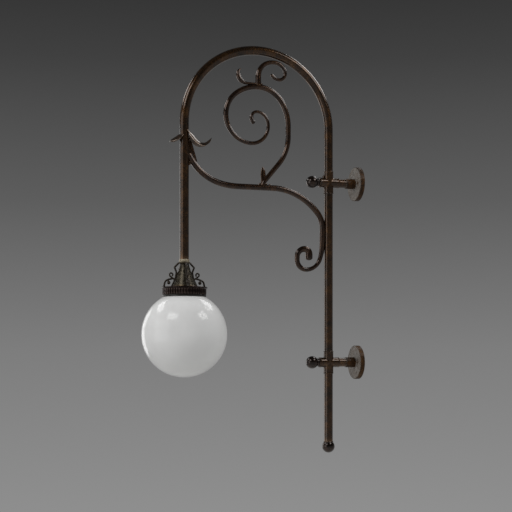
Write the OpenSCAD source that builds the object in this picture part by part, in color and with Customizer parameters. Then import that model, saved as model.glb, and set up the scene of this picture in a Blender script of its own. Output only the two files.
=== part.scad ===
// Swan-neck wall lantern with an opal glass globe.
// Frame: the wall is the plane Y = 0, the lantern stands out along -Y and +Z is up.
// The bracket lies in the plane X = 0, and the origin is the middle of the upper wall plate's back.

/* [Pipe frame] */
// Outside diameter of the pipe
pipe_d = 26.7; // [26:0.1:27.4]
// Wall thickness of the pipe
pipe_wall = 2.85; // [2.3:0.05:3.2]
// Distance of the post's axis from the wall
post_out = 98; // [92:1:106]
// Distance between the post and the lamp pipe, axis to axis
span = 450; // [444:1:456]
// Height of the arch's centre above the upper fitting
arch_rise = 157; // [152:1:162]
// Distance between the two fittings on the post
fitting_gap = 544; // [520:1:560]
// Length of the post below the lower fitting, to the middle of its ball
tail_len = 255; // [200:5:300]
// Drop of the lamp pipe's end below the upper fitting
lamp_drop = 243; // [240:0.5:246]

/* [Fittings] */
// Outside diameter of a fitting's sleeves
sleeve_d = 29.8; // [29.4:0.1:31]
// Half length of a fitting's upright sleeve
sleeve_len = 34; // [32:1:38]
// Diameter of the ball finials
ball_d = 38; // [36:1:40]
// Distance from the post's axis to the middle of a front ball
ball_out = 53; // [51:1:56]

/* [Wall plates] */
// Diameter of a wall plate
plate_d = 102; // [100:1:106]
// Thickness of a wall plate
plate_t = 14; // [12:1:16]
// Distance between a plate's two screw holes
screw_gap = 54; // [52:1:56]
// Diameter of a screw hole
screw_hole_d = 6.5; // [5:0.5:7]
// Length of the boss that takes the arm
boss_len = 29; // [20:1:32]

/* [Scrolls] */
// Diameter of the round bar of the long scroll
scroll_d = 18; // [17:0.2:18.4]
// Diameter of the round bar of the spiral
spiral_d = 17; // [16:0.2:17.4]

/* [Gallery] */
// Number of flutes round the gallery's band
flutes = 48; // [40:1:56]
// Diameter of the gallery's top rim
rim_d = 135; // [134:0.5:138]
// Thickness of a scroll rib
rib_t = 5; // [4:0.5:6]

/* [Globe] */
// Outside diameter of the globe
globe_d = 250; // [249:0.5:252]
// Thickness of the glass
glass_t = 3.6; // [3:0.1:4.2]
// Outside diameter of the globe's neck
neck_d = 100; // [99:0.5:101]

/* [Hidden] */
$fn = 96;
eps = 0.02;

iron = [0.20, 0.13, 0.09];
dark_iron = [0.15, 0.10, 0.07];
aged_bronze = [0.30, 0.25, 0.17];
brass = [0.72, 0.56, 0.30];
opal = [0.93, 0.93, 0.90];
porcelain = [0.90, 0.89, 0.85];

pipe_r = pipe_d / 2;
bore_r = pipe_r - pipe_wall;
post_y = -post_out;
lamp_y = -post_out - span;
arch_r = span / 2;
arch_y = post_y - arch_r;
sleeve_r = sleeve_d / 2;
plate_r = plate_d / 2;
ball_r = ball_d / 2;
low_z = -fitting_gap;
foot_z = low_z - tail_len;
lamp_z = -lamp_drop;
pipe_gap = 14;       // from a fitting's middle to the ends of the pipes in it
fit_gap = 0.05;      // radial room of a pipe in its sleeve

// A cylinder along Y from y0 to y1
module y_rod(y0, y1, r) {
    translate([0, y0, 0]) rotate([-90, 0, 0]) cylinder(h = y1 - y0, r = r);
}

// A run of a path is [length, 0], or [radius, turn in degrees] with left turns positive.
// A pose is [y, z, heading, distance along the path].
function run_length(run) = run[1] == 0 ? run[0] : run[0] * abs(run[1]) * PI / 180;

function along(pose, run, part) =
    let (far = pose[3] + part * run_length(run),
         turned = pose[2] + part * run[1],
         side = sign(run[1]))
    run[1] == 0
    ? [pose[0] + part * run[0] * cos(pose[2]), pose[1] + part * run[0] * sin(pose[2]), pose[2], far]
    : [pose[0] + side * run[0] * (sin(turned) - sin(pose[2])),
       pose[1] - side * run[0] * (cos(turned) - cos(pose[2])), turned, far];

function trace(pose, runs, step, i = 0) =
    i == len(runs)
    ? [pose]
    : let (n = max(ceil(run_length(runs[i]) / step), ceil(abs(runs[i][1]) / 16)))
      concat([for (k = [0 : n - 1]) along(pose, runs[i], k / n)],
             trace(along(pose, runs[i], 1), runs, step, i + 1));

// The pose at the start of run n
function pose_at(pose, runs, n, i = 0) = i == n ? pose : pose_at(along(pose, runs[i], 1), runs, n, i + 1);

// A bar swept along a path in the plane X = 0. across and thick are tables of
// [share of the length, half size], across along X and thick in the bracket's plane. dish is one
// of how many thicknesses the two edges rise to the left of the path, or to its right if negative.
module swept_bar(start, runs, across, thick, sides = 12, step = 11, dish = [[0, 0]]) {
    path = trace([start[0], start[1], start[2], 0], runs, step);
    total = path[len(path) - 1][3];
    rings = [for (p = path)
        let (a = lookup(p[3] / total, across),
             t = lookup(p[3] / total, thick),
             d = lookup(p[3] / total, dish))
        for (k = [0 : sides - 1])
            let (u = cos(k * 360 / sides),
                 c = a * u,
                 s = t * (sin(k * 360 / sides) + d * (u * u - 0.5)))
            [c, p[0] - s * sin(p[2]), p[1] + s * cos(p[2])]];
    last = (len(path) - 1) * sides;
    faces = concat(
        [[for (k = [sides - 1 : -1 : 0]) k]],
        [for (i = [0 : len(path) - 2], k = [0 : sides - 1])
            let (m = (k + 1) % sides)
            [i * sides + k, i * sides + m, (i + 1) * sides + m, (i + 1) * sides + k]],
        [[for (k = [0 : sides - 1]) last + k]]);
    polyhedron(points = rings, faces = faces, convexity = 10);
}

// Wall plates
module wall_plate(z0) {
    recess_r = 42;
    wall = 4;
    pillar_r = 7;
    edge = 1.5;
    boss_r = 15.2;
    head_r = 5.6;
    color(dark_iron) translate([0, 0, z0]) difference() {
        union() {
            difference() {
                rotate([90, 0, 0]) rotate_extrude()
                    polygon([[0, 0], [plate_r, 0], [plate_r, plate_t - edge],
                             [plate_r - edge, plate_t], [0, plate_t]]);
                y_rod(-plate_t + wall, 1, recess_r);
            }
            for (side = [-1, 1]) translate([side * screw_gap / 2, 0, 0])
                y_rod(-plate_t + 1, 0, pillar_r);
            y_rod(-plate_t - boss_len, -plate_t + wall, boss_r);
        }
        y_rod(-plate_t - boss_len - 1, 1, pipe_r + fit_gap);
        for (side = [-1, 1]) translate([side * screw_gap / 2, 0, 0]) {
            y_rod(-plate_t - 1, 1, screw_hole_d / 2);
            translate([0, -plate_t - eps, 0]) rotate([-90, 0, 0])
                cylinder(h = head_r - screw_hole_d / 2, r1 = head_r, r2 = screw_hole_d / 2);
        }
    }
}

module upper_wall_plate() {
    wall_plate(0);
}

module lower_wall_plate() {
    wall_plate(low_z);
}

// Arms from the wall plates to the fittings
module arm(z0) {
    back = -plate_t + 4;
    color(iron) translate([0, 0, z0]) difference() {
        y_rod(post_y + pipe_gap, back, pipe_r);
        y_rod(post_y + pipe_gap - 1, back + 1, bore_r);
    }
}

module upper_arm() {
    arm(0);
}

module lower_arm() {
    arm(low_z);
}

// Four-way fittings: sleeves for the pipes above, below and behind, and for the ball in front
module cross_fitting(z0) {
    rear_len = 33;
    front_len = 29;
    bead_r = sleeve_r + 0.7;
    bead_w = 2.4;
    color(dark_iron) translate([0, post_y, z0]) difference() {
        union() {
            translate([0, 0, -sleeve_len]) cylinder(h = 2 * sleeve_len, r = sleeve_r);
            y_rod(-front_len, rear_len, sleeve_r);
            for (z1 = [-sleeve_len, sleeve_len - bead_w])
                translate([0, 0, z1]) cylinder(h = bead_w, r = bead_r);
            for (y1 = [-front_len, rear_len - bead_w])
                y_rod(y1, y1 + bead_w, bead_r);
        }
        translate([0, 0, -sleeve_len - 1]) cylinder(h = 2 * sleeve_len + 2, r = bore_r);
        y_rod(-front_len - 1, rear_len + 1, bore_r);
        for (z1 = [-sleeve_len - 1, pipe_gap])
            translate([0, 0, z1]) cylinder(h = sleeve_len - pipe_gap + 1, r = pipe_r + fit_gap);
        y_rod(-front_len - 1, -pipe_gap, pipe_r + fit_gap);
        y_rod(pipe_gap, rear_len + 1, pipe_r + fit_gap);
    }
}

module upper_cross() {
    cross_fitting(0);
}

module lower_cross() {
    cross_fitting(low_z);
}

// Ball finials in the front sleeves, each turned with a neck and a spigot
module front_ball(z0) {
    neck_r = 11.5;
    color(iron) translate([0, post_y, z0]) union() {
        translate([0, -ball_out, 0]) sphere(r = ball_r);
        y_rod(-ball_out, -29, neck_r);
        y_rod(-29, -pipe_gap - 2, pipe_r);
    }
}

module upper_ball() {
    front_ball(0);
}

module lower_ball() {
    front_ball(low_z);
}

seat_drop = sqrt(ball_r * ball_r - pipe_r * pipe_r);

module foot_ball() {
    spigot_len = 22;
    color(iron) translate([0, post_y, foot_z]) union() {
        difference() {
            sphere(r = ball_r);
            translate([0, 0, seat_drop]) cylinder(h = ball_r, r = ball_r);
        }
        cylinder(h = seat_drop + spigot_len, r = bore_r - fit_gap);
    }
}

// Pipes
module swan_neck_solid(r, extra) {
    translate([0, post_y, pipe_gap - extra]) cylinder(h = arch_rise - pipe_gap + extra, r = r);
    translate([0, arch_y, arch_rise]) rotate([90, 0, 90])
        rotate_extrude(angle = 180) translate([arch_r, 0]) circle(r = r);
    translate([0, lamp_y, lamp_z - extra]) cylinder(h = arch_rise - lamp_z + extra, r = r);
}

module swan_neck() {
    color(iron) difference() {
        swan_neck_solid(pipe_r, 0);
        swan_neck_solid(bore_r, 1);
    }
}

module pipe_length(z0, z1) {
    color(iron) translate([0, post_y, z0]) difference() {
        cylinder(h = z1 - z0, r = pipe_r);
        translate([0, 0, -1]) cylinder(h = z1 - z0 + 2, r = bore_r);
    }
}

module middle_post() {
    pipe_length(low_z + pipe_gap, -pipe_gap);
}

module lower_post() {
    pipe_length(foot_z + seat_drop, low_z - pipe_gap);
}

// A pipe's outside with room for a weld, to cope a bar against
module pipe_clear(y, r = pipe_r) {
    translate([0, y, lamp_z]) cylinder(h = 500, r = r + eps);
}

// Long S-shaped scroll from the lamp pipe to the post, ending in a blunt volute
scroll_z = -23.6;    // height of its level stretch
scroll_runs = [
    [12, 0], [150, 50], [260, 10], [103 + span - 450, 0], [185, -50], [81, -40], [700, -5],
    [110, -10], [9, 0], [46, -75], [29, -90], [9, 0], [24, -90], [14, -90],
    [16, 0], [3, 0], [1.4, 0],
];
module long_scroll() {
    r = scroll_d / 2;
    size = [[0, r], [0.68, r], [0.79, 6], [0.85, 7.3], [0.91, 8.2], [0.955, 9.8],
            [0.98, 11.2], [0.994, 9.6], [1, 5.5]];
    color(iron) difference() {
        swept_bar([lamp_y + 12, 63.5, -60], scroll_runs, size, size);
        pipe_clear(lamp_y);
        pipe_clear(post_y);
    }
}

// The level stretch of the long scroll, to cope a bar that stands on it
module level_clear() {
    translate([0, arch_y, scroll_z]) rotate([90, 0, 0])
        cylinder(h = 150, r = scroll_d / 2 + eps, center = true);
}

// Large spiral that stands on the long scroll
spiral_start = [arch_y + 14.5, -19.1, 80, 0];
spiral_runs = [
    [35, -30], [66.6, 0], [130, 40], [29 + arch_rise - 157, 0], [140, 30], [88, 60], [110, 40], [81, 135],
    [53, 95], [50, 30], [33, 60], [17, 90], [24, 38], [4, 0], [2, 0],
];
crown = pose_at(spiral_start, spiral_runs, 6);
module spiral_scroll() {
    r = spiral_d / 2;
    size = [[0, r - 0.9], [0.15, r - 0.8], [0.22, r - 0.5], [0.35, r], [0.45, r], [0.62, r - 0.5],
            [0.68, 6.9], [0.76, 6.1], [0.85, 5.3], [0.93, 4.7], [0.965, 4.9],
            [0.983, 6.6], [0.994, 6], [1, 3]];
    color(iron) difference() {
        swept_bar(spiral_start, spiral_runs, size, size);
        level_clear();
    }
}

// The spiral's crown on one side of its top, to cope what stands on it
module crown_clear(run) {
    bend = spiral_runs[run][0];
    translate([0, crown[0], crown[1] - bend]) rotate([90, 0, 90])
        rotate_extrude() translate([bend, 0]) circle(r = spiral_d / 2 + 0.12);
}

// Small scroll that stands on the spiral and bears on the arch
crest_start = [crown[0] + 0.6, crown[1] + 3, 90];
crest_runs = [[27, 0], [46, -90], [5, 0], [34, -78], [19.5, -104], [28, -50], [4, 0], [2, 0]];
module crest_scroll() {
    size = [[0, 9], [0.15, 8.6], [0.3, 7.6], [0.45, 6.5], [0.7, 5.6], [0.96, 5], [1, 3]];
    color(iron) difference() {
        swept_bar(crest_start, crest_runs, size, size, step = 8);
        crown_clear(5);
    }
}

// Leaf that springs from the spiral beside it
crest_leaf_start = [crown[0] - 8.9, crown[1] + 8.4, 180];
crest_leaf_runs = [[26, 0], [27, -90], [18, -60]];
module crest_leaf() {
    across = [[0, 5.5], [0.5, 8], [0.8, 6], [1, 0.8]];
    thick = [[0, 3.4], [0.25, 3.8], [0.4, 5.4], [0.55, 7.1], [0.7, 7], [0.84, 5.4], [0.94, 2.8], [1, 0.7]];
    color(iron) difference() {
        swept_bar(crest_leaf_start, crest_leaf_runs, across, thick, step = 5);
        crown_clear(6);
    }
}

// Pointed leaf in the corner between the long scroll and the spiral
module thorn_leaf() {
    across = [[0, 6], [0.5, 4.5], [1, 0.6]];
    thick = [[0, 8], [0.2, 8], [0.5, 8.6], [0.8, 6.5], [1, 1.5]];
    color(iron) difference() {
        swept_bar([arch_y + 16.5, -18, 90], [[40, 0], [60, 16]], across, thick, step = 6);
        level_clear();
        spiral_scroll();
        translate([-20, arch_y + 8.4, spiral_start[1]]) rotate([-40, 0, 0]) translate([0, 0, -20])
            cube([40, 40, 110]);
    }
}

// Web that joins the long scroll's end to the lamp pipe
module gusset() {
    web_t = 8;
    color(iron) difference() {
        rotate([90, 0, 90]) translate([0, 0, -web_t / 2]) linear_extrude(web_t)
            polygon([for (p = [[11, 106], [20, 104], [24, 93], [38, 46], [40, 30], [30, 34], [11, 60]])
                [lamp_y + p[0], p[1]]]);
        pipe_clear(lamp_y);
        long_scroll();
    }
}

// Leaves that spring from the lamp pipe
module pipe_leaf(start, runs, across, thick, dish) {
    color(iron) difference() {
        swept_bar(start, runs, across, thick, sides = 16, step = 6,
            dish = [[0, 0], [0.2, dish], [0.85, dish], [1, 0]]);
        pipe_clear(lamp_y);
    }
}

module front_leaf() {
    across = [[0, 15], [0.3, 16], [0.6, 13], [0.85, 8.5], [1, 3]];
    thick = [[0, 2.6], [0.3, 2.5], [0.6, 2.2], [0.85, 1.5], [1, 0.9]];
    pipe_leaf([lamp_y - 7, 118.5, -140], [[10, 0], [60, -22], [9, 0]], across, thick, 4);
}

module rear_leaf() {
    across = [[0, 16], [0.29, 17.5], [0.5, 15.5], [0.7, 11.5], [0.9, 6.5], [1, 2]];
    thick = [[0, 3.4], [0.29, 3.4], [0.45, 3.1], [0.65, 2.7], [0.78, 2], [0.9, 1.5], [1, 0.7]];
    pipe_leaf([lamp_y + 6, 132.5, -50], [[30, 0], [60, 20], [24, 65], [40, 20], [10, 0]], across, thick, -3);
}

// Mains cable, whole inside the upper arm, the fitting, the arch and the lamp pipe
cable_r = 3.2;
cable_bend = 26;
cable_start = -16;
cable_end = -296;
module supply_cable() {
    color([0.25, 0.25, 0.26]) union() {
        y_rod(post_y + cable_bend, cable_start, cable_r);
        translate([0, post_y + cable_bend, cable_bend]) rotate([90, 0, 90])
            rotate_extrude(angle = 90, start = 180) translate([cable_bend, 0]) circle(r = cable_r);
        translate([0, post_y, cable_bend]) cylinder(h = arch_rise - cable_bend, r = cable_r);
        translate([0, arch_y, arch_rise]) rotate([90, 0, 90])
            rotate_extrude(angle = 180) translate([arch_r, 0]) circle(r = cable_r);
        translate([0, lamp_y, cable_end]) cylinder(h = arch_rise - cable_end, r = cable_r);
    }
}

// Cores from the cable's end, two down to the terminals and one up to the earth screw
core_r = 1.1;
core_bend = 5;
module core(x, side, reach, tint) {
    y0 = cable_start + 9.5;
    color(tint) translate([x, 0, 0]) union() {
        y_rod(cable_start, y0, core_r);
        translate([0, y0, side * core_bend]) rotate([90, 0, 90])
            rotate_extrude(angle = 90, start = side > 0 ? 270 : 0)
                translate([core_bend, 0]) circle(r = core_r);
        translate([0, y0 + core_bend, side > 0 ? core_bend : -reach])
            cylinder(h = reach - core_bend, r = core_r);
    }
}

block_top = 20;
module live_core() {
    core(-3.4, -1, block_top + 3, [0.35, 0.2, 0.12]);
}

module neutral_core() {
    core(3.4, -1, block_top + 3, [0.15, 0.3, 0.6]);
}

earth_z = 27;
module earth_core() {
    core(0, 1, earth_z - 4.2, [0.35, 0.6, 0.2]);
}

// Two-way terminal block in the upper plate's recess
block = [17, 8, 14];
module terminal_block() {
    color(porcelain) difference() {
        translate([-block[0] / 2, -10, -block_top - block[2]]) cube(block);
        for (x = [-3.4, 3.4]) {
            translate([x, cable_start + 9.5 + core_bend, -block_top - 8])
                cylinder(h = 9, r = core_r + 0.1);
            translate([x, 0, -block_top - 9]) y_rod(-6, 0, 1.6);
        }
    }
}

module terminal_screws() {
    color(brass) for (x = [-3.4, 3.4]) translate([x, 0, -block_top - 9])
        y_rod(-6, -2.6, 1.55);
}

// Earth screw in a tapped pad of the upper plate
module earth_screw() {
    color(brass) translate([0, 0, earth_z]) union() {
        y_rod(-10, -4.5, 2.4);
        y_rod(-4.5, -1.8, 4);
    }
}

// End of the lamp pipe: a plug, and a hollow nipple that carries the gallery and the holder
nipple_r = 5;
module pipe_plug() {
    color(brass) translate([0, lamp_y, lamp_z]) difference() {
        cylinder(h = 18, r = bore_r - fit_gap);
        translate([0, 0, -1]) cylinder(h = 20, r = nipple_r + fit_gap);
    }
}

bell_top = -251.4;
bell_foot = -321;
module hollow_nipple() {
    color(brass) translate([0, lamp_y, 0]) difference() {
        translate([0, 0, -291]) cylinder(h = 291 + lamp_z + 22, r = nipple_r);
        translate([0, 0, -292]) cylinder(h = 293 + lamp_z + 22, r = 4);
    }
}

module seat_collar() {
    collar_r = 15.4;
    color(brass) translate([0, lamp_y, 0]) difference() {
        rotate_extrude() polygon([
            [0, bell_top], [collar_r - 1.6, bell_top], [collar_r, bell_top + 1.8],
            [collar_r, lamp_z - 3.4], [pipe_r + 1, lamp_z], [0, lamp_z]]);
        translate([0, 0, bell_top - 1]) cylinder(h = 20, r = nipple_r + fit_gap);
    }
}

module nipple_locknut() {
    across_flats = 14;
    color(brass) translate([0, lamp_y, bell_top - 9.5]) difference() {
        cylinder(h = 4.5, r = across_flats / 2 / cos(30), $fn = 6);
        translate([0, 0, -1]) cylinder(h = 7, r = nipple_r + fit_gap);
    }
}

// Bell-shaped gallery
cap_r = 17.9;
bell_neck_r = 13;
bell_foot_r = 36.5;
bell_wall = 3;
cap_z = bell_top - 4.6;
function bell_r(z) = bell_neck_r + (bell_foot_r - bell_neck_r)
    * pow((cap_z - z) / (cap_z - bell_foot), 1.2);

bell_steps = 10;
bell_rows = [for (k = [0 : bell_steps]) cap_z + (bell_foot - cap_z) * k / bell_steps];
module gallery_bell() {
    outer = concat([[0, bell_top], [cap_r - 1, bell_top], [cap_r, bell_top - 1], [cap_r, cap_z + 0.8]],
                   [for (z = bell_rows) [bell_r(z), z]]);
    inner_top = bell_top - 5;
    inner = concat([for (k = [bell_steps : -1 : 1]) [bell_r(bell_rows[k]) - bell_wall, bell_rows[k]]],
                   [[bell_neck_r - bell_wall, inner_top], [0, inner_top]]);
    color(aged_bronze) translate([0, lamp_y, 0]) difference() {
        rotate_extrude() polygon(concat(outer, inner));
        translate([0, 0, -300]) cylinder(h = 60, r = nipple_r + fit_gap);
    }
}

// Pierced scroll ribs: a stem down the bell, an outer scroll to the rim, a curl and a bud
function ribbon(start, runs, half0, half1) =
    let (path = trace([start[0], start[1], start[2], 0], runs, 3),
         total = path[len(path) - 1][3],
         half = [for (p = path) half0 + (half1 - half0) * p[3] / total])
    concat([for (i = [0 : len(path) - 1])
               [path[i][0] - half[i] * sin(path[i][2]), path[i][1] + half[i] * cos(path[i][2])]],
           [for (i = [len(path) - 1 : -1 : 0])
               [path[i][0] + half[i] * sin(path[i][2]), path[i][1] - half[i] * cos(path[i][2])]]);

// One stroke of a rib, cut back from the bell and the band
module stroke(start, runs, half0, half1, thick) {
    translate([0, 0, -thick / 2]) linear_extrude(thick) difference() {
        polygon(ribbon(start, runs, half0, half1));
        polygon(concat(
            [[0, -240], [30, -240], [30, bell_top], [cap_r + eps, bell_top], [cap_r + eps, cap_z + 0.8]],
            [for (z = bell_rows) [bell_r(z) + eps, z]],
            [[bell_foot_r + 0.2, bell_foot + eps], [bell_foot_r + 3 + eps, band_top + eps], [0, band_top]]));
        translate([0, band_top + eps - 20]) square([90, 20]);
    }
}

module rib(turn) {
    bud = [46.5, -311.3];
    color(aged_bronze) translate([0, lamp_y, 0]) rotate([0, 0, turn]) rotate([90, 0, 0]) union() {
        // stem: out from the cap to the knee, in to the waist and out again to the foot
        stroke([17.3, -254.1, -46], [[15.5, 0], [3, -66], [9.5, 0], [14, 33], [8, 0], [60, 14], [28, 0]],
            2, 2, rib_t);
        // outer scroll from the band up and back to the stem
        stroke([61.2, -325.5, 101], [[10, 0], [30, 14], [7, 38], [5, 0], [20, 14], [12, 0]],
            2.1, 1.8, rib_t - 0.3);
        // curl above the outer scroll
        stroke([29, -302.2, 36], [[15.6, 0], [6.5, 40], [4.8, 236]], 1.8, 1.5, rib_t - 0.6);
        // bud on a short branch under the outer scroll
        stroke([47.7, -303.4, -98], [[7.5, 0]], 1.6, 1.4, rib_t - 1.4);
        translate([bud[0], bud[1], 0]) sphere(r = 4.4, $fn = 32);
    }
}

module front_rib() {
    rib(-90);
}

module rear_rib() {
    rib(90);
}

module left_rib() {
    rib(180);
}

module right_rib() {
    rib(0);
}

// Fluted band: a top rim, a flat top that carries the bell, and a skirt with upright flutes
band_top = -323.5;
band_foot = -345.6;
rim_r = rim_d / 2;
skirt_r = 59;
module fluted_band() {
    flute_r = 62.6;
    flute_deep = 1.5;
    top_t = 4;
    inner_r = 32.5;
    color(aged_bronze) translate([0, lamp_y, 0]) difference() {
        union() {
            rotate_extrude() polygon([
                [inner_r, bell_foot], [bell_foot_r + 0.2, bell_foot], [bell_foot_r + 3, band_top],
                [rim_r - 2, band_top], [rim_r, band_top - 2], [rim_r, band_top - 4.6],
                [rim_r - 1.6, band_top - 6.4],
                [flute_r - 1, band_top - 6.4], [inner_r, band_top - 6.4]]);
            translate([0, 0, band_foot]) linear_extrude(band_top - 6 - band_foot) difference() {
                polygon([for (k = [0 : flutes * 6 - 1])
                    let (a = k * 60 / flutes, r = flute_r + flute_deep * abs(sin(a * flutes / 2)))
                    [r * cos(a), r * sin(a)]]);
                circle(r = skirt_r - 3);
            }
        }
        translate([0, 0, band_foot - 1]) cylinder(h = band_top - top_t - band_foot + 1, r = skirt_r);
        translate([0, 0, band_foot - 1]) cylinder(h = 40, r = inner_r);
    }
}

// Lampholder: metal cap, porcelain body, screw shell and centre contact
holder_top = -284;
holder_face = -346;
shell_r = 13.9;
module holder_cap() {
    color(brass) translate([0, lamp_y, 0]) difference() {
        rotate_extrude() polygon([
            [0, holder_top], [8, holder_top], [9.5, holder_top - 4], [16.5, holder_top - 9],
            [18, holder_top - 12], [18, holder_top - 18], [17, holder_top - 18],
            [17, holder_top - 12.4], [15.8, holder_top - 10], [0, holder_top - 10]]);
        translate([0, 0, -300]) cylinder(h = 20, r = nipple_r + fit_gap);
    }
}

module holder_body() {
    color(porcelain) translate([0, lamp_y, 0]) difference() {
        rotate_extrude() polygon([
            [0, -299.5], [16.9, -299.5], [16.9, holder_top - 18.1], [19, holder_top - 18.1],
            [19.6, -330], [19.6, holder_face + 1.5], [18.4, holder_face], [0, holder_face]]);
        translate([0, 0, holder_face - 1]) cylinder(h = 40, r = shell_r + fit_gap);
    }
}

module screw_shell() {
    color(brass) translate([0, lamp_y, -340]) difference() {
        cylinder(h = 32, r = shell_r);
        translate([0, 0, -1]) cylinder(h = 34, r = 13.3);
    }
}

module centre_contact() {
    color(brass) translate([0, lamp_y, 0]) union() {
        translate([0, 0, -308]) cylinder(h = 1, r = 6);
        translate([0, 0, -308.9]) cylinder(h = 1, r = 3);
    }
}

// Globe with a flanged neck, its gasket and the threaded ring that holds it
globe_r = globe_d / 2;
globe_z = -461;
neck_r = neck_d / 2;
lip_r = 54;
lip_top = -332.3;
lip_low = -338;
ring_room = 0.4;
module globe_gasket() {
    color([0.12, 0.12, 0.12]) translate([0, lamp_y, 0]) difference() {
        translate([0, 0, -332]) cylinder(h = 4.5, r = 56);
        translate([0, 0, -333]) cylinder(h = 7, r = 46);
    }
}

module retaining_ring() {
    thread_r = skirt_r - 0.08;
    grip_top = band_foot - 0.4;
    grip_r = 63.6;
    ring_low = -351.4;
    inner = neck_r + 0.8;
    color(aged_bronze) translate([0, lamp_y, 0]) rotate_extrude() polygon([
        [inner, lip_low - ring_room], [lip_r + ring_room, lip_low - ring_room],
        [lip_r + ring_room, -332.4], [thread_r, -332.4], [thread_r, grip_top], [grip_r, grip_top],
        [grip_r, ring_low + 1], [grip_r - 1, ring_low], [61.6, ring_low], [58.9, -350],
        [54.8, -348], [inner + 1, -345.6], [inner, -344]]);
}

module globe_solid(r, neck, top) {
    translate([0, 0, globe_z]) sphere(r = r, $fn = 128);
    translate([0, 0, globe_z + r / 2]) cylinder(h = top - globe_z - r / 2, r = neck);
}

module globe() {
    color(opal) translate([0, lamp_y, 0]) difference() {
        union() {
            globe_solid(globe_r, neck_r, lip_top);
            translate([0, 0, lip_low]) cylinder(h = lip_top - lip_low, r = lip_r);
        }
        globe_solid(globe_r - glass_t, neck_r - glass_t, lip_top + 1);
    }
}

// Bulb
module bulb_cap() {
    color(brass) translate([0, lamp_y, 0]) rotate_extrude() polygon([
        [0, -309.2], [4.8, -309.2], [4.8, -310.6], [11, -313.5], [13, -315.5],
        [13, -334], [12.6, -336], [0, -336]]);
}

module bulb_glass() {
    bulb_r = 30;
    bulb_z = -388;
    neck = 12.8;
    color(opal) translate([0, lamp_y, 0]) difference() {
        union() {
            translate([0, 0, bulb_z]) sphere(r = bulb_r);
            translate([0, 0, -370.4]) cylinder(h = 22.4, r1 = 24.4, r2 = neck);
            translate([0, 0, -348 - eps]) cylinder(h = 12 + eps, r = neck);
        }
        translate([0, 0, bulb_z]) sphere(r = bulb_r - 1);
        translate([0, 0, -370.4 - eps]) cylinder(h = 22.4, r1 = 23.2, r2 = neck - 1);
        translate([0, 0, -348 - 2 * eps]) cylinder(h = 10, r = neck - 1);
    }
}

upper_wall_plate();
lower_wall_plate();
upper_arm();
lower_arm();
upper_cross();
lower_cross();
upper_ball();
lower_ball();
foot_ball();
swan_neck();
middle_post();
lower_post();
long_scroll();
spiral_scroll();
crest_scroll();
crest_leaf();
thorn_leaf();
gusset();
front_leaf();
rear_leaf();
supply_cable();
live_core();
neutral_core();
earth_core();
terminal_block();
terminal_screws();
earth_screw();
pipe_plug();
hollow_nipple();
seat_collar();
nipple_locknut();
gallery_bell();
front_rib();
rear_rib();
left_rib();
right_rib();
fluted_band();
holder_cap();
holder_body();
screw_shell();
centre_contact();
globe_gasket();
retaining_ring();
globe();
bulb_cap();
bulb_glass();
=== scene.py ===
from math import atan2, ceil, cos, pi, radians, sin

import bmesh
import bpy
from mathutils import Matrix, Vector


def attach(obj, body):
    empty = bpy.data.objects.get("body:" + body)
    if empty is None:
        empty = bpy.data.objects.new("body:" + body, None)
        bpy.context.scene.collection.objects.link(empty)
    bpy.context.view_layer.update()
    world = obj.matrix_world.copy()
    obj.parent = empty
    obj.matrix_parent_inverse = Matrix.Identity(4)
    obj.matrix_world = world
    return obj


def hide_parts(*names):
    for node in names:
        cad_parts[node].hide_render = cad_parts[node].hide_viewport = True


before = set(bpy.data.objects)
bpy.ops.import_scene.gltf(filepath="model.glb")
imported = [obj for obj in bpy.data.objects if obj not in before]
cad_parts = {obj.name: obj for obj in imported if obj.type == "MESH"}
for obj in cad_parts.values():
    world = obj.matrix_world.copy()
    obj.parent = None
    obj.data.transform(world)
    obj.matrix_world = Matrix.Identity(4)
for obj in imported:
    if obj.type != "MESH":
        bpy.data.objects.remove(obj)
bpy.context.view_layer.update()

# Camera
# Level, at about the height of the globe, and turned to the side of the bracket. The lens is
# shifted up to take in the arch.
camera = bpy.data.objects.new("camera", bpy.data.cameras.new("camera"))
camera.data.lens = 77.34
camera.data.shift_y = 0.1807
camera.location = (3.1052, -1.3379, -0.502)
camera.rotation_euler = (radians(90), 0, radians(72))
bpy.context.collection.objects.link(camera)
bpy.context.scene.camera = camera
bpy.context.scene.view_settings.view_transform = "Standard"


# Studio
# A grey backdrop that is darker overhead, an even fill from all round, and softboxes: four
# overhead, a large one at the left that draws the bright edges of the pipes and bars, and a
# broad dim one at the front left.
def hex_colour(code):
    """An sRGB hex value as a linear colour."""
    parts = [int(code[i : i + 2], 16) / 255 for i in (0, 2, 4)]
    return tuple(p / 12.92 if p < 0.04045 else ((p + 0.055) / 1.055) ** 2.4 for p in parts) + (1,)


def add(tree, kind, inputs=None, stops=(), **settings):
    """Adds a node, with its settings, its inputs joined or filled and a ramp's stops of (place, hex).

    Inputs go by name or number. A map range has its value at 0 and its two spans at 1 to 4, and a
    colour mix has its share at 0 and its two colours at 6 and 7."""
    made = tree.nodes.new(kind)
    for name, value in settings.items():
        setattr(made, name, value)
    for name, value in (inputs or {}).items():
        if isinstance(value, bpy.types.NodeSocket):
            tree.links.new(value, made.inputs[name])
        else:
            made.inputs[name].default_value = value
    if stops:
        band = made.color_ramp.elements
        while len(band) < len(stops):
            band.new(0.5)
        for stop, (spot, code) in zip(band, stops):
            stop.position = spot
            stop.color = hex_colour(code)
    return made


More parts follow.
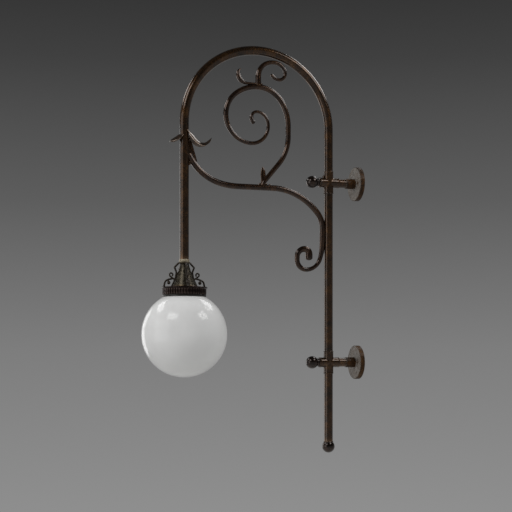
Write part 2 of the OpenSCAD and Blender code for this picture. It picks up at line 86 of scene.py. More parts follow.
world = bpy.data.worlds.new("studio")
bpy.context.scene.world = world
world.use_nodes = True
tree = world.node_tree
tree.nodes.clear()
ray = add(tree, "ShaderNodeLightPath")
straight = add(tree, "ShaderNodeMath", {0: ray.outputs["Is Camera Ray"], 1: ray.outputs["Is Glossy Ray"]},
               operation="MAXIMUM")
seen = add(tree, "ShaderNodeMath", {0: straight.outputs[0], 1: ray.outputs["Is Transmission Ray"]},
           operation="MAXIMUM")
sky = add(tree, "ShaderNodeTexCoord")
height = add(tree, "ShaderNodeSeparateXYZ", {0: sky.outputs["Generated"]})
spread = add(tree, "ShaderNodeMapRange", {0: height.outputs["Z"], 1: -0.16, 2: 0.31})
backdrop = add(tree, "ShaderNodeValToRGB", {0: spread.outputs[0]},
               stops=[(0, "909090"), (0.34, "7D7D7D"), (0.62, "5D5D5D"), (0.88, "404040"), (1, "343434")])
fill = add(tree, "ShaderNodeMapRange", {0: height.outputs["Z"], 1: -1, 2: 1, 3: 0.37, 4: 0.45})
mixed = add(tree, "ShaderNodeMix", {0: seen.outputs[0], 6: fill.outputs[0], 7: backdrop.outputs[0]},
            data_type="RGBA")
shade = add(tree, "ShaderNodeBackground", {"Color": mixed.outputs[2], "Strength": 1})
add(tree, "ShaderNodeOutputWorld", {"Surface": shade.outputs[0]})


def softbox(name, right, up, near, distance, width, length, watts):
    """A softbox that faces the globe, in a direction from it given as the camera sees it."""
    globe_centre = Vector((0, -0.548, -0.461))
    camera_right = Vector((0.309, 0.951, 0))
    camera_near = Vector((0.951, -0.309, 0))
    way = (camera_right * right + Vector((0, 0, up)) + camera_near * near).normalized()
    lamp = bpy.data.lights.new(name, "AREA")
    lamp.shape = "RECTANGLE"
    lamp.size = width
    lamp.size_y = length
    lamp.energy = watts
    made = bpy.data.objects.new(name, lamp)
    made.location = globe_centre + way * distance
    made.rotation_euler = way.to_track_quat("Z", "Y").to_euler()
    made.visible_camera = False
    bpy.context.collection.objects.link(made)


softbox("back_left_box", -0.626, 0.723, -0.291, 2.6, 1.35, 0.65, 8)
softbox("front_left_box", -0.416, 0.713, 0.564, 2.6, 1.1, 0.8, 9)
softbox("back_right_box", 0.554, 0.707, -0.438, 2.6, 1.4, 0.8, 9.5)
softbox("front_right_box", 0.691, 0.677, 0.251, 2.6, 1.0, 0.8, 9)
softbox("left_wall_box", -0.68, 0.05, -0.73, 2.6, 1.0, 2.0, 9)
softbox("front_left_panel", -0.86, 0.15, 0.49, 2.8, 2.4, 2.4, 17)

# Floor
# A plain pale floor well below the lantern, which fades into the backdrop.
FLOOR_CENTRE = Vector((0, -0.35, -1.15))
bm = bmesh.new()
bmesh.ops.create_circle(bm, cap_ends=True, radius=1.2, segments=96, matrix=Matrix.Translation(FLOOR_CENTRE))
floor_mesh = bpy.data.meshes.new("floor")
bm.to_mesh(floor_mesh)
bm.free()
floor = bpy.data.objects.new("floor", floor_mesh)
bpy.context.collection.objects.link(floor)


def bare_material(name):
    """A material whose node tree is still empty."""
    made = bpy.data.materials.new(name)
    made.use_nodes = True
    made.node_tree.nodes.clear()
    return made, made.node_tree


floor_paint, tree = bare_material("pale_floor_paint")
place = add(tree, "ShaderNodeTexCoord").outputs["Object"]
centred = add(tree, "ShaderNodeMapping", {0: place, 1: -FLOOR_CENTRE})
reach = add(tree, "ShaderNodeVectorMath", {0: centred.outputs[0]}, operation="LENGTH")
fade = add(tree, "ShaderNodeMapRange", {0: reach.outputs["Value"], 1: 0.6, 2: 1.15},
           interpolation_type="SMOOTHSTEP")
paint = add(tree, "ShaderNodeBsdfDiffuse", {"Color": hex_colour("C9C9C7")})
clear = add(tree, "ShaderNodeBsdfTransparent")
blend = add(tree, "ShaderNodeMixShader", {0: fade.outputs[0], 1: paint.outputs[0], 2: clear.outputs[0]})
add(tree, "ShaderNodeOutputMaterial", {"Surface": blend.outputs[0]})
floor.data.materials.append(floor_paint)


# Swan neck, middle post and foot post
# 3/4 inch iron pipe, cold bent over a former, browned and waxed. The neck is one length, from the
# upper fitting over the arch and down to the gallery, and the post goes on below in two lengths.
MM = 0.001
PIPE_R = 13.35
BORE_R = 10.5
POST_Y = -98
LAMP_Y = -548
UPPER_Z = 0
LOWER_Z = -544
PIPE_STOP = 14
NECK_RISE = 143
ARCH_R = 225
LAMP_DROP = 400
FOOT_LENGTH = 227.5


def browned_iron(name, grain=1.0, dust=0.0, rubbed=0.45, coat=0.8, gloss=0.2, grime="858079", faces=False,
                 metallic=0.85, tones=("190F05", "33200B", "4A2F12", "664820")):
    """Mild steel with a browned and waxed skin: dark, glossy and uneven, rubbed bright on its edges."""
    made, tree = bare_material(name)
    place = add(tree, "ShaderNodeTexCoord").outputs["Object"]
    # patches of browning about 25 mm across, with finer mottling of 4 mm in them
    patches = add(tree, "ShaderNodeTexNoise", {"Vector": place, "Scale": 38, "Detail": 5, "Roughness": 0.62})
    mottle = add(tree, "ShaderNodeTexNoise", {"Vector": place, "Scale": 240, "Detail": 3, "Roughness": 0.6})
    both = add(tree, "ShaderNodeMix", {0: 0.42, 2: patches.outputs["Fac"], 3: mottle.outputs["Fac"]})
    skin = add(tree, "ShaderNodeValToRGB", {0: both.outputs[0]},
               stops=list(zip((0.34, 0.46, 0.56, 0.70), tones)))
    # wax and dust lie grey, in clouds about 11 mm across, where the piece is handled little
    film = add(tree, "ShaderNodeTexNoise", {"Vector": place, "Scale": 90, "Detail": 6, "Roughness": 0.7})
    dusty = add(tree, "ShaderNodeMapRange", {0: film.outputs["Fac"], 1: 0.42, 2: 0.68, 3: dust / 2, 4: dust})
    if faces:
        # and on a plate only on the open face, not on the rim or the boss
        side = add(tree, "ShaderNodeSeparateXYZ", {0: add(tree, "ShaderNodeNewGeometry").outputs["Normal"]})
        dusty = add(tree, "ShaderNodeMapRange",
                    {0: side.outputs["Y"], 1: -0.6, 2: -0.95, 4: dusty.outputs[0]})
    worn = add(tree, "ShaderNodeMix", {0: dusty.outputs[0], 6: skin.outputs[0], 7: hex_colour(grime)},
               data_type="RGBA")
    if rubbed:
        # edges and high spots are rubbed to a warm metal
        form = add(tree, "ShaderNodeNewGeometry")
        high = add(tree, "ShaderNodeMapRange", {0: form.outputs["Pointiness"], 1: 0.53, 2: 0.60, 4: rubbed})
        worn = add(tree, "ShaderNodeMix", {0: high.outputs[0], 6: worn.outputs[2], 7: hex_colour("93714F")},
                   data_type="RGBA")
    # mill scale and file marks, drawn 2.4 mm across so that they show, and dents of 17 mm, both
    # at a grain of 1
    scale = add(tree, "ShaderNodeTexNoise", {"Vector": place, "Scale": 420 * grain, "Detail": 4})
    dents = add(tree, "ShaderNodeTexNoise", {"Vector": place, "Scale": 60 * grain, "Detail": 2})
    rough = add(tree, "ShaderNodeMapRange",
                {0: mottle.outputs["Fac"], 1: 0.3, 2: 0.7, 3: gloss, 4: gloss + 0.16})
    fine = add(tree, "ShaderNodeBump", {"Strength": 0.08, "Distance": 0.0004, "Height": scale.outputs["Fac"]})
    wavy = add(tree, "ShaderNodeBump", {"Strength": 0.12, "Distance": 0.0012, "Height": dents.outputs["Fac"],
                                        "Normal": fine.outputs[0]})
    body = add(tree, "ShaderNodeBsdfPrincipled", {
        "Base Color": worn.outputs[2], "Metallic": metallic, "Roughness": rough.outputs[0],
        "Normal": wavy.outputs[0], "Coat Weight": coat, "Coat Roughness": 0.1,
        "Coat Normal": wavy.outputs[0], "Specular IOR Level": 0.25})
    add(tree, "ShaderNodeOutputMaterial", {"Surface": body.outputs[0]})
    return made


waxed_pipe = browned_iron("browned_steel_pipe", dust=0.03)


def poses(start, runs, step):
    """Poses (y, z, heading, distance) along runs of (length, 0) or (radius, turn), left turns positive."""
    y, z, heading = start
    path = [(y, z, heading, 0)]
    for size, turn in runs:
        length = size if turn == 0 else size * abs(radians(turn))
        count = max(ceil(length / step), ceil(abs(turn) / 9), 1)
        for _ in range(count):
            y, z, heading, far = path[-1]
            after = heading + turn / count
            if turn == 0:
                y += size / count * cos(radians(heading))
                z += size / count * sin(radians(heading))
            else:
                bend = size if turn > 0 else -size
                y += bend * (sin(radians(after)) - sin(radians(heading)))
                z -= bend * (cos(radians(after)) - cos(radians(heading)))
            path.append((y, z, after, far + length / count))
    return path


def table(stops, share):
    """The value between stops of (share of the length, value)."""
    for (low, before), (high, after) in zip(stops, stops[1:]):
        if share <= high:
            return before + (after - before) * (share - low) / (high - low)
    return stops[-1][1]


def across_bar(pose, wide, thick):
    """Carries a unit circle to a pose, wide along X and thick in the bracket's plane."""
    y, z, heading, _ = pose
    s, c = sin(radians(heading)), cos(radians(heading))
    return Matrix(((-wide, 0, 0, 0), (0, -s * thick, c, y), (0, c * thick, s, z), (0, 0, 0, 1)))


def draw_bar(bm, start, runs, wide, thick, sides=20, step=6, dish=((0, 0), (1, 0)), nose=0, caps=True):
    """Draws a bar out along its path, ring by ring. nose is the length of its rounded end.

    dish is a table of how many thicknesses its two edges curl to the left of the path, as a leaf's do."""
    path = poses(start, runs, step)
    if nose:
        y, z, heading, far = path[-1]
        tip = poses((y, z, heading), [(nose, 0)], nose / 8)[1:]
        path += [(y, z, heading, far + extra) for y, z, heading, extra in tip]
    total = path[-1][3]
    carry = []
    for pose in path:
        share = pose[3] / total
        left = total - pose[3]
        slim = max(1 - (1 - left / nose) ** 2, 0.02) ** 0.5 if left < nose else 1
        frame_at = across_bar(pose, slim * table(wide, share), slim * table(thick, share))
        carry.append((frame_at, table(dish, share)))
    ring = bmesh.ops.create_circle(bm, cap_ends=caps, radius=1, segments=sides)["verts"]
    bmesh.ops.transform(bm, matrix=carry[0][0], verts=ring)
    first = [e for e in bm.edges if e.verts[0] in ring and e.verts[1] in ring]
    edges = first
    for (before, flat), (after, curled) in zip(carry, carry[1:]):
        grown = bmesh.ops.extrude_edge_only(bm, edges=edges)["geom"]
        ring = [g for g in grown if isinstance(g, bmesh.types.BMVert)]
        edges = [g for g in grown if isinstance(g, bmesh.types.BMEdge)
                 and g.verts[0] in ring and g.verts[1] in ring]
        bmesh.ops.transform(bm, matrix=before.inverted(), verts=ring)
        for v in ring:
            v.co.y += (curled - flat) * (v.co.x**2 - 0.5)
        bmesh.ops.transform(bm, matrix=after, verts=ring)
    if caps:
        bmesh.ops.edgeloop_fill(bm, edges=edges)
    return first, edges


def finish(name, bm, material, body, replaced=(), sharp=35):
    """Makes a piece of the mesh, in metres, smooth but for its sharp edges, and hands it to its body."""
    bmesh.ops.remove_doubles(bm, verts=bm.verts, dist=0.002)
    bmesh.ops.recalc_face_normals(bm, faces=bm.faces)
    bmesh.ops.scale(bm, vec=(MM, MM, MM), verts=bm.verts)
    for face in bm.faces:
        face.smooth = True
    for edge in bm.edges:
        edge.smooth = not edge.is_manifold or edge.calc_face_angle() < radians(sharp)
    mesh = bpy.data.meshes.new(name)
    bm.to_mesh(mesh)
    bm.free()
    made = bpy.data.objects.new(name, mesh)
    bpy.context.collection.objects.link(made)
    made.data.materials.append(material)
    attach(made, body)
    if replaced:
        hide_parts(*replaced)
    return made


def draw_pipe(name, start, runs, node):
    """A pipe with its bore, drawn along its path."""
    bm = bmesh.new()
    walls = []
    for radius in (PIPE_R, BORE_R):
        flat = [(0, radius), (1, radius)]
        walls.append(draw_bar(bm, start, runs, flat, flat, sides=40, step=14, caps=False))
    for outer, inner in zip(*walls):
        bmesh.ops.bridge_loops(bm, edges=outer + inner)
    return finish(name, bm, waxed_pipe, "bracket", [node])


draw_pipe("neck_pipe", (POST_Y, PIPE_STOP, 90), [(NECK_RISE, 0), (ARCH_R, 180), (LAMP_DROP, 0)], "swan_neck")
draw_pipe("post_pipe", (POST_Y, -PIPE_STOP, -90), [(UPPER_Z - LOWER_Z - 2 * PIPE_STOP, 0)], "middle_post")
draw_pipe("post_foot_pipe", (POST_Y, LOWER_Z - PIPE_STOP, -90), [(FOOT_LENGTH, 0)], "lower_post")


# Wall plates
# Grey iron castings with a boss for the arm and two countersunk screw holes, browned like the
# pipes but dulled by dust on their open faces. The CAD solids have every edge, so they stay.
cast_plate = browned_iron("weathered_cast_iron_plate", grain=0.7, dust=0.85, rubbed=0, coat=0.1, gloss=0.55,
                          metallic=0.3, grime="96928C", faces=True)


def dress(node, material):
    """Gives a CAD node that stays its finish."""
    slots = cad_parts[node].data.materials
    slots.clear()
    slots.append(material)


dress("upper_wall_plate", cast_plate)
dress("lower_wall_plate", cast_plate)


# Arms and four-way fittings
# Short pipe arms brazed into cast fittings, whose sleeves end in a low bead and flow into each
# other where the casting was filleted.
UPRIGHT_HALF = 34.5
SLEEVE_TO_WALL = 33
SLEEVE_TO_FRONT = 29
ARM_START = -10
ARM_LENGTH = 74
cast_fitting = browned_iron("browned_cast_iron_fitting", grain=0.8, dust=0.06)


def turn_round(bm, profile, place, steps=64, closed=False):
    """Turns a profile of (radius, height) round an axis, as on a lathe."""
    verts = [bm.verts.new((r, 0, z)) for r, z in profile]
    edges = [bm.edges.new(pair) for pair in zip(verts, verts[1:])]
    if closed:
        edges.append(bm.edges.new((verts[-1], verts[0])))
    before = set(bm.verts) - set(verts)
    bmesh.ops.spin(bm, geom=verts + edges, cent=(0, 0, 0), axis=(0, 0, 1), dvec=(0, 0, 0),
                   angle=2 * pi, steps=steps, use_merge=True, use_duplicate=False)
    turned = [v for v in bm.verts if v not in before]
    bmesh.ops.transform(bm, matrix=place, verts=turned)
    bmesh.ops.remove_doubles(bm, verts=turned, dist=0.002)


def on_axis(y, z, along_y=False):
    """Places a turned piece: its axis upright, or pointing out from the wall along -Y."""
    move = Matrix.Translation((0, y, z))
    return move @ Matrix.Rotation(radians(90), 4, "X") if along_y else move


def arc(r, z, radius, start, end, count=10):
    """Points round a corner or a ball, for a lathe profile."""
    return [(r + radius * cos(radians(start + (end - start) * i / count)),
             z + radius * sin(radians(start + (end - start) * i / count))) for i in range(count + 1)]


def sleeve(low, high):
    """A sleeve's outline with a rounded bead at each end."""
    bead = 1.25
    bead_at = 14.3
    wall = 14.85
    neck = 3.4
    return ([(0, low)] + arc(bead_at, low + bead, bead, -90, 55, 6)
            + [(wall, low + neck), (wall, high - neck)]
            + arc(bead_at, high - bead, bead, -55, 90, 6) + [(0, high)])


for word, z in (("upper", UPPER_Z), ("lower", LOWER_Z)):
    bm = bmesh.new()
    turn_round(bm, sleeve(-UPRIGHT_HALF, UPRIGHT_HALF), on_axis(POST_Y, z))
    turn_round(bm, sleeve(-SLEEVE_TO_WALL, SLEEVE_TO_FRONT), on_axis(POST_Y, z, along_y=True))
    cross = finish(f"{word}_fitting_casting", bm, cast_fitting, "bracket", [f"{word}_cross"])
    cast = cross.modifiers.new("cast in one", "REMESH")
    cast.mode = "VOXEL"
    cast.voxel_size = 0.9 * MM
    cast.use_smooth_shade = True
    fettled = cross.modifiers.new("fettled", "SMOOTH")
    fettled.factor = 0.6
    fettled.iterations = 5
    draw_pipe(f"{word}_arm_pipe", (ARM_START, z, 180), [(ARM_LENGTH, 0)], f"{word}_arm")

# Ball finials
# Turned from steel bar: a ball, a short waist and a collar against the sleeve. The same ball closes
# the foot of the post.
BALL_R = 19
FRONT_BALL = 53
FOOT_BALL = -799
turned_ball = browned_iron("browned_turned_steel", grain=1.2, dust=0.02, gloss=0.1,
                           tones=("120B08", "21150F", "312016", "503A27"))
for word, z in (("upper", UPPER_Z), ("lower", LOWER_Z)):
    bm = bmesh.new()
    neck = [(0, 16), (13.3, 16), (13.3, 29.2), (14.2, 29.6), (14.6, 31), (13.9, 32.4), (11.8, 33.4)]
    ball = arc(0, FRONT_BALL, BALL_R, -52, 90, 24)
    turn_round(bm, neck + ball, on_axis(POST_Y, z, along_y=True))
    finish(f"{word}_finial", bm, turned_ball, "bracket", [f"{word}_ball"])
bm = bmesh.new()
neck = [(14.6, -785.4), (14.9, -784.2), (14.2, -783), (10.4, -782.8), (10.4, -763.6), (0, -763.6)]
turn_round(bm, arc(0, FOOT_BALL, BALL_R, -90, 42, 26) + neck, on_axis(POST_Y, 0))
finish("foot_finial", bm, turned_ball, "bracket", ["foot_ball"])

# Long scroll
# One round bar, forged down to a thin neck before its volute and left thick at the snub end. It
# is welded to the lamp pipe and to the post.
forged_bar = browned_iron("browned_forged_bar", grain=0.9, dust=0.02, gloss=0.18,
                          tones=("160D06", "2D1B0D", "412A17", "60452A"))
SCROLL_RUNS = [(12, 0), (150, 50), (260, 10), (103, 0), (185, -50), (81, -40), (700, -5), (110, -10), (9, 0),
               (46, -75), (29, -90), (9, 0), (24, -90), (14, -90), (12.4, 0)]
SCROLL_SIZE = [(0, 9), (0.68, 9), (0.79, 6), (0.85, 7.3), (0.91, 8.2), (0.955, 9.8), (0.98, 11.2), (1, 11)]
bm = bmesh.new()
draw_bar(bm, (LAMP_Y + 12, 63.5, -60), SCROLL_RUNS, SCROLL_SIZE, SCROLL_SIZE, sides=24, step=5, nose=8)
finish("scroll_bar", bm, forged_bar, "bracket", ["long_scroll"])

# Web under the leaf
# A plate forged in with the scroll's end and laid up along the pipe, with rounded edges.
WEB_HALF = 3.9
bm = bmesh.new()
outline = [(11, 106), (19, 104.5), (24, 93), (31, 70), (38, 46), (40, 32), (30, 34), (11, 60)]
web = bm.faces.new([bm.verts.new((-WEB_HALF, LAMP_Y + y, z)) for y, z in outline])
grown = bmesh.ops.extrude_face_region(bm, geom=[web])["geom"]
far_side = [g for g in grown if isinstance(g, bmesh.types.BMVert)]
bmesh.ops.translate(bm, vec=(2 * WEB_HALF, 0, 0), verts=far_side)
bmesh.ops.bevel(bm, geom=bm.edges, offset=2.6, segments=3, profile=0.5, affect="EDGES")
finish("scroll_web", bm, forged_bar, "bracket", ["gusset"], sharp=60)

# Spiral
# A lighter round bar wound through about one and three quarter turns, with a ball forged on its
# end, welded on the long scroll.
SPIRAL_START = (-308.5, -19.1, 80)
SPIRAL_RUNS = [(35, -30), (66.6, 0), (130, 40), (29, 0), (140, 30), (88, 60), (110, 40), (81, 135), (53, 95),
               (50, 30), (33, 60), (17, 90), (24, 38)]
SPIRAL_SIZE = [(0, 7.6), (0.15, 7.7), (0.22, 8), (0.35, 8.5), (0.45, 8.5), (0.62, 8), (0.68, 6.9),
               (0.76, 6.1), (0.85, 5.3), (0.93, 4.7), (0.965, 4.9), (0.983, 6.6), (1, 6.5)]
bm = bmesh.new()
draw_bar(bm, SPIRAL_START, SPIRAL_RUNS, SPIRAL_SIZE, SPIRAL_SIZE, sides=22, step=5, nose=6)
finish("spiral_bar", bm, forged_bar, "bracket", ["spiral_scroll"])

# Crest scroll and its leaf
# A short tapered scroll that stands on the spiral and bears on the arch, with a pointed leaf
# beside it. Both are forged and welded.
crown = poses(SPIRAL_START, SPIRAL_RUNS[:6], 6)[-1]
CREST_RUNS = [(27, 0), (46, -90), (5, 0), (34, -78), (19.5, -104), (28, -50), (2, 0)]
CREST_SIZE = [(0, 9), (0.15, 8.6), (0.3, 7.6), (0.45, 6.5), (0.7, 5.6), (0.96, 5), (1, 4.9)]
bm = bmesh.new()
draw_bar(bm, (crown[0] + 0.6, crown[1] + 3, 90), CREST_RUNS, CREST_SIZE, CREST_SIZE, sides=20, step=4, nose=4)
finish("crest_bar", bm, forged_bar, "bracket", ["crest_scroll"])
LEAF_RUNS = [(26, 0), (27, -90), (18, -60)]
LEAF_WIDE = [(0, 5.5), (0.5, 8), (0.8, 6), (1, 0.8)]
LEAF_THICK = [(0, 3.4), (0.25, 3.8), (0.4, 5.4), (0.55, 7.1), (0.7, 7), (0.84, 5.4), (0.94, 2.8), (1, 0.7)]
bm = bmesh.new()
draw_bar(bm, (crown[0] - 8.9, crown[1] + 8.4, 180), LEAF_RUNS, LEAF_WIDE, LEAF_THICK, sides=20, step=3)
finish("crest_leaf_forging", bm, forged_bar, "bracket", ["crest_leaf"])

# Pointed leaf in the corner
# A flat leaf of mild steel, forged to a point and welded between the long scroll and the spiral.
THORN_WIDE = [(0, 6), (0.5, 4.5), (1, 0.5)]
THORN_THICK = [(0, 8), (0.2, 8), (0.5, 8.6), (0.8, 6.5), (1, 1)]
bm = bmesh.new()
draw_bar(bm, (-306.5, -18, 90), [(40, 0), (60, 16)], THORN_WIDE, THORN_THICK, sides=20, step=3)
finish("thorn_leaf_forging", bm, forged_bar, "bracket", ["thorn_leaf"])

# Leaves on the lamp pipe
# Two leaves forged from thick sheet, arched across so that their edges hang down, welded round the
# pipe where the long scroll leaves it and rubbed lighter. The rear one's tip curls up.
rubbed_leaf = browned_iron("rubbed_forged_leaf", grain=0.8, dust=0.22, rubbed=0.6, gloss=0.18, grime="9C948C")
# each leaf's start, runs, curl of its edges, half widths and half thicknesses
LEAVES = {
    "front": ((LAMP_Y - 7, 118.5, -140), [(10, 0), (60, -22), (9, 0)], 4,
              [(0, 15), (0.3, 16), (0.6, 13), (0.85, 8.5), (1, 3)],
              [(0, 2.6), (0.3, 2.5), (0.6, 2.2), (0.85, 1.5), (1, 0.9)]),
    "rear": ((LAMP_Y + 6, 132.5, -50), [(30, 0), (60, 20), (24, 65), (40, 20), (10, 0)], -3,
             [(0, 16), (0.29, 17.5), (0.5, 15.5), (0.7, 11.5), (0.9, 6.5), (1, 2)],
             [(0, 3.4), (0.29, 3.4), (0.45, 3.1), (0.65, 2.7), (0.78, 2), (0.9, 1.5), (1, 0.7)]),
}
for word, (start, runs, curl, wide, thick) in LEAVES.items():
    bm = bmesh.new()
    draw_bar(bm, start, runs, wide, thick, sides=32, step=3, dish=[(0, 0), (0.2, curl), (0.85, curl), (1, 0)])
    finish(f"{word}_leaf_sheet", bm, rubbed_leaf, "bracket", [f"{word}_leaf"])

# Welds
# Bronze-welded beads, filed rough and browned over, where the bars meet each other and the pipes.
BEAD_HALF = 6.2
bm = bmesh.new()
# each bead's place, half its length and half its height
for y, z, long, high in (
    (-314, -13.5, 6.5, 4.6), (-299.5, -12.5, 6, 4.4), (-286.5, -15.5, 5, 3.2), (-322.5, -17, 4.5, 2.8),
    (crown[0] - 8.5, crown[1] + 9, 5, 3.4), (crown[0] + 9.6, crown[1] + 8.6, 5, 3.6),
    (-115, 14, 3, 9), (-532.5, 39, 4, 8), (-533, 106, 3, 6), (-561.5, 113, 2.6, 5),
):
    lump = bmesh.ops.create_icosphere(bm, subdivisions=3, radius=1)["verts"]
    bmesh.ops.scale(bm, vec=(BEAD_HALF, long, high), verts=lump)
    bmesh.ops.translate(bm, vec=(0, y, z), verts=lump)
finish("weld_beads", bm, forged_bar, "bracket")

# Gallery
# Cast and turned bronze, gone dark brown, with a brass seat above it. A bell, four scroll ribs
# soldered round it and a fluted band below.
NIPPLE_R = 5.1
BELL_TOP = -251.4
BELL_FOOT = -321
BAND_TOP = -323.5


def aged_bronze(name, light="1E1812", mid="120E0A", dark="080605", metallic=0.25, rub="6A5840", gloss=0.28):
    """Cast bronze gone brown, with grime and painted shade in its hollows, rubbed lighter on its edges."""
    made, tree = bare_material(name)
    place = add(tree, "ShaderNodeTexCoord").outputs["Object"]
    # patina in spots about 3 mm across
    spots = add(tree, "ShaderNodeTexNoise", {"Vector": place, "Scale": 330, "Detail": 4, "Roughness": 0.65})
    skin = add(tree, "ShaderNodeValToRGB", {0: spots.outputs["Fac"]},
               stops=[(0.32, dark), (0.5, mid), (0.66, light)])
    form = add(tree, "ShaderNodeNewGeometry")
    # the hollows are darkened: partly grime, partly painted shade
    hollow = add(tree, "ShaderNodeMapRange", {0: form.outputs["Pointiness"], 1: 0.40, 2: 0.52, 3: 0.85, 4: 0})
    grimed_and_shaded = add(tree, "ShaderNodeMix", {0: hollow.outputs[0], 6: skin.outputs[0], 7: hex_colour("14100C")},
                 data_type="RGBA")
    rubbed = add(tree, "ShaderNodeMapRange", {0: form.outputs["Pointiness"], 1: 0.52, 2: 0.60, 3: 0, 4: 0.7})
    worn = add(tree, "ShaderNodeMix", {0: rubbed.outputs[0], 6: grimed_and_shaded.outputs[2], 7: hex_colour(rub)},
               data_type="RGBA")
    rough = add(tree, "ShaderNodeMapRange",
                {0: spots.outputs["Fac"], 1: 0.3, 2: 0.7, 3: gloss, 4: gloss + 0.2})
    pits = add(tree, "ShaderNodeBump", {"Strength": 0.4, "Distance": 0.0004, "Height": spots.outputs["Fac"]})
    body = add(tree, "ShaderNodeBsdfPrincipled", {
        "Base Color": worn.outputs[2], "Metallic": metallic, "Roughness": rough.outputs[0],
        "Normal": pits.outputs[0]})
    add(tree, "ShaderNodeOutputMaterial", {"Surface": body.outputs[0]})
    return made


cast_bronze = aged_bronze("aged_cast_bronze")
bell_bronze = aged_bronze("aged_cast_bell_bronze", light="6F6857", mid="443E33", dark="262019", metallic=0.8,
                          gloss=0.2)
band_bronze = aged_bronze("aged_cast_band_bronze", light="3E302B", mid="261B18", dark="0D0807", metallic=0.85,
                          rub="806E66", gloss=0.14)
seat_brass = aged_bronze("aged_turned_brass", light="C9BEA6", mid="93886F", dark="54493A", rub="E8E0CE")

bm = bmesh.new()
seat = ([(NIPPLE_R, BELL_TOP + 0.05), (13.9, BELL_TOP + 0.05)] + arc(13.9, BELL_TOP + 1.55, 1.5, -90, 0, 5)
        + [(15.4, -246.6), (15.1, -245.2), (14.5, -243.9), (14.3, -243.05), (NIPPLE_R, -243.05)])
turn_round(bm, seat, on_axis(LAMP_Y, 0), closed=True)
finish("brass_seat", bm, seat_brass, "bracket", ["seat_collar"])

# Gallery bell
# A slender trumpet with a flat cap, cast in bronze 3 mm thick, and lighter and more metallic than
# the ribs. It is clamped under the brass seat by the locknut.
CAP_Z = BELL_TOP - 4.6
BELL_WALL = 3


def bell_radius(z):
    """Radius of the bell's outside at a height."""
    return 13 + 23.5 * ((CAP_Z - z) / (CAP_Z - BELL_FOOT)) ** 1.2


rows = [CAP_Z + (BELL_FOOT - CAP_Z) * i / 24 for i in range(25)]
cap = ([(NIPPLE_R, BELL_TOP), (16.7, BELL_TOP)] + arc(16.7, BELL_TOP - 1.2, 1.2, 90, 0, 5)
       + [(17.9, CAP_Z + 1.6), (17.4, CAP_Z + 0.8), (14.4, CAP_Z + 0.4)])
outside = [(bell_radius(z), z) for z in rows]
inside = [(r - BELL_WALL, z) for r, z in reversed(outside[2:])]
under_cap = [(10, BELL_TOP - 5), (NIPPLE_R, BELL_TOP - 5)]
bm = bmesh.new()
turn_round(bm, cap + outside + inside + under_cap, on_axis(LAMP_Y, 0), closed=True)
finish("bell_casting", bm, bell_bronze, "bracket", ["gallery_bell"])

# Ribs
# Each rib is a bronze casting of scrolls, soldered on: a stem that leaves the cap, turns in at a
# waist and runs down the bell, an outer scroll to the rim, a curl above it and a bud below it.
BUD_R = 5.1
BUD_PLACE = (0, 46.5, -311.3)
# each stroke's start, runs, half width, and half thickness at its start and at its end
STROKES = [
    ((17.3, -254.1, -46), [(15.5, 0), (3, -66), (9.5, 0), (14, 33), (8, 0), (60, 14), (28, 0)], 3, 2.9, 2.8),
    ((61.2, -325.5, 101), [(10, 0), (30, 14), (7, 38), (5, 0), (20, 14), (12, 0)], 2.8, 2.9, 2.6),
    ((29, -302.2, 36), [(15.6, 0), (6.5, 40), (4.8, 236), (1, 0)], 2.6, 2.6, 2.3),
    ((47.7, -303.4, -98), [(7.5, 0)], 2.2, 2.1, 2),
]
for word, turn in (("front", 180), ("rear", 0), ("left", 90), ("right", -90)):
    bm = bmesh.new()
    for start, runs, wide, thick, thin in STROKES:
        draw_bar(bm, start, runs, [(0, wide), (1, wide)], [(0, thick), (1, thin)], sides=14, step=2)
    bmesh.ops.create_uvsphere(bm, u_segments=20, v_segments=14, radius=BUD_R,
                              matrix=Matrix.Translation(BUD_PLACE))
    bmesh.ops.transform(bm, verts=bm.verts,
                        matrix=Matrix.Translation((0, LAMP_Y, 0)) @ Matrix.Rotation(radians(turn), 4, "Z"))
    finish(f"{word}_rib_casting", bm, cast_bronze, "bracket", [f"{word}_rib"])

# Fluted band
# A moulded rim over a skirt of upright flutes, cast in bronze with the flat top that the ribs stand
# on, and soldered to the bell's foot.
FLUTES = 48
FLUTE_RISE = 1.8
BAND_BORE = 59.05
SKIRT_R = 62.3
bm = bmesh.new()
top = ([(32.5, BELL_FOOT), (36.7, BELL_FOOT), (38.2, -322.6), (40, BAND_TOP), (64.6, BAND_TOP)]
       + arc(65, -325.9, 2.45, 80, -65, 10)
       + [(65.4, -328.7), (62.4, -329.9), (BAND_BORE, -330), (BAND_BORE, -327.5), (32.5, -327.5)])
turn_round(bm, top, on_axis(LAMP_Y, 0), steps=144, closed=True)
skirt = ([(BAND_BORE, -329)] + [(SKIRT_R, z) for z in (-329, -331, -335, -340, -344)]
         + [(61.7, -345.2), (60.8, -345.6), (BAND_BORE, -345.6)])
rim = set(bm.verts)
turn_round(bm, skirt, on_axis(LAMP_Y, 0), steps=FLUTES * 8, closed=True)
for v in set(bm.verts) - rim:
    out = Vector((v.co.x, v.co.y - LAMP_Y, 0))
    if out.length > 60.5:
        # the flutes swell to half rounds, with a sharp groove between neighbours
        out *= (out.length + FLUTE_RISE * abs(sin(FLUTES / 2 * atan2(out.y, out.x)))) / out.length
        v.co.x, v.co.y = out.x, out.y + LAMP_Y
finish("fluted_band_casting", bm, band_bronze, "bracket", ["fluted_band"])

# Globe
# Opal glass blown in one piece: a white sphere with a short neck and a rolled lip that the ring
# holds. Glossy outside, 3.6 mm thick.
GLOBE_R = 124.95
GLOBE_INSIDE_R = 121.4
GLOBE_Z = -461
opal, tree = bare_material("blown_opal_glass")
place = add(tree, "ShaderNodeTexCoord").outputs["Object"]
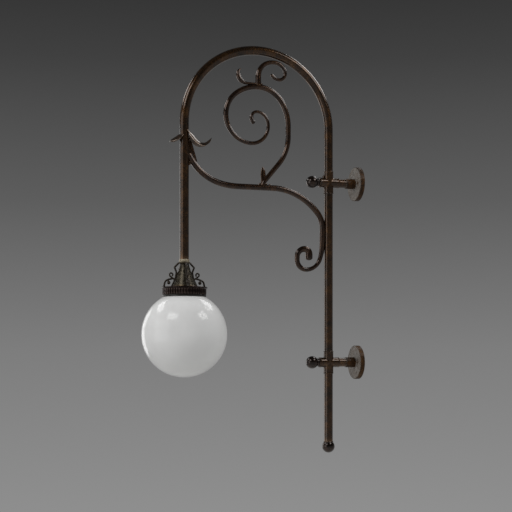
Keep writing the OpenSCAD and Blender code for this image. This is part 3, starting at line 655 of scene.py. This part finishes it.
# blown glass is never quite even: waves about 70 mm long
waves = add(tree, "ShaderNodeTexNoise", {"Vector": place, "Scale": 14, "Detail": 0})
ripple = add(tree, "ShaderNodeBump", {"Strength": 0.008, "Distance": 0.002, "Height": waves.outputs["Fac"]})
milk = add(tree, "ShaderNodeValToRGB", {0: waves.outputs["Fac"]}, stops=[(0.3, "E9E9E8"), (0.7, "F0F0EF")])
body = add(tree, "ShaderNodeBsdfPrincipled", {
    "Base Color": milk.outputs[0], "Roughness": 0.13, "IOR": 1.5, "Subsurface Weight": 0.25,
    "Subsurface Radius": (1, 1, 1), "Subsurface Scale": 0.006, "Normal": ripple.outputs[0]})
add(tree, "ShaderNodeOutputMaterial", {"Surface": body.outputs[0]})
lip = ([(50, -343), (50, -339), (50.6, -338.2)] + arc(53.2, -337.2, 0.8, -90, 0, 4)
       + arc(53.2, -333.1, 0.8, 0, 90, 4) + [(47.2, -332.3), (46.4, -333.2), (46.4, -345)])
outside = arc(0, GLOBE_Z, GLOBE_R, -90, 66.4, 72)
inside = arc(0, GLOBE_Z, GLOBE_INSIDE_R, 67.5, -90, 72)
bm = bmesh.new()
turn_round(bm, outside + lip + inside, on_axis(LAMP_Y, 0), steps=128)
finish("opal_globe", bm, opal, "globe", ["globe"])

# Retaining ring
# Turned bronze. Its plain grip shows as a rim under the flutes, and its ledge holds the globe.
thread = [(50.8, -338.4), (54.4, -338.4), (54.4, -332.4), (58.92, -332.4), (58.92, -346), (62.9, -346)]
grip = arc(62.4, -347.2, 1.15, 75, 0, 4) + arc(62.4, -350.2, 1.15, 0, -90, 4)
ledge = [(61.6, -351.4), (58.9, -350), (54.8, -348), (51.8, -345.6), (50.8, -344)]
bm = bmesh.new()
turn_round(bm, thread + grip + ledge, on_axis(LAMP_Y, 0), steps=128, closed=True)
finish("ring_turning", bm, cast_bronze, "ring", ["retaining_ring"])

# Hidden fittings
# Brass, porcelain, rubber and insulation inside the pipes, the plates and the gallery, and the
# bulb in the globe. The CAD solids have these shapes, so they stay.
def plain(name, colour, roughness, metallic=0.0, patch=120, change="FFFFFF", amount=0.12):
    """A material with a faint variation of its colour and gloss, patches of 1000 / patch mm."""
    made, tree = bare_material(name)
    place = add(tree, "ShaderNodeTexCoord").outputs["Object"]
    cloud = add(tree, "ShaderNodeTexNoise", {"Vector": place, "Scale": patch, "Detail": 4})
    share = add(tree, "ShaderNodeMapRange", {0: cloud.outputs["Fac"], 1: 0.35, 2: 0.7, 3: 0, 4: amount})
    mixed = add(tree, "ShaderNodeMix", {0: share.outputs[0], 6: hex_colour(colour), 7: hex_colour(change)},
                data_type="RGBA")
    rough = add(tree, "ShaderNodeMapRange", {0: cloud.outputs["Fac"], 3: roughness * 0.8, 4: roughness * 1.2})
    uneven = add(tree, "ShaderNodeBump",
                 {"Strength": 0.15, "Distance": 0.0003, "Height": cloud.outputs["Fac"]})
    body = add(tree, "ShaderNodeBsdfPrincipled", {
        "Base Color": mixed.outputs[2], "Metallic": metallic, "Roughness": rough.outputs[0],
        "Normal": uneven.outputs[0]})
    add(tree, "ShaderNodeOutputMaterial", {"Surface": body.outputs[0]})
    return made


turned_brass = plain("turned_brass", "C9A765", 0.3, metallic=1.0, patch=300, change="7A5E30", amount=0.5)
porcelain = plain("glazed_porcelain", "EFEDE6", 0.12)
rubber = plain("black_rubber", "141415", 0.6, patch=500, change="3A3A3A", amount=0.3)
hidden = {
    "supply_cable": rubber,
    "live_core": plain("brown_insulation", "5A3218", 0.4),
    "neutral_core": plain("blue_insulation", "2B5FB4", 0.4),
    "earth_core": plain("green_insulation", "4F9A2C", 0.4, change="D8CF2E", amount=0.6),
    "terminal_block": porcelain,
    "terminal_screws": turned_brass,
    "earth_screw": turned_brass,
    "pipe_plug": turned_brass,
    "hollow_nipple": turned_brass,
    "nipple_locknut": turned_brass,
    "holder_cap": turned_brass,
    "holder_body": porcelain,
    "screw_shell": turned_brass,
    "centre_contact": turned_brass,
    "globe_gasket": rubber,
    "bulb_cap": turned_brass,
    "bulb_glass": plain("frosted_bulb_glass", "F2F0EA", 0.35),
}
for name, material in hidden.items():
    dress(name, material)
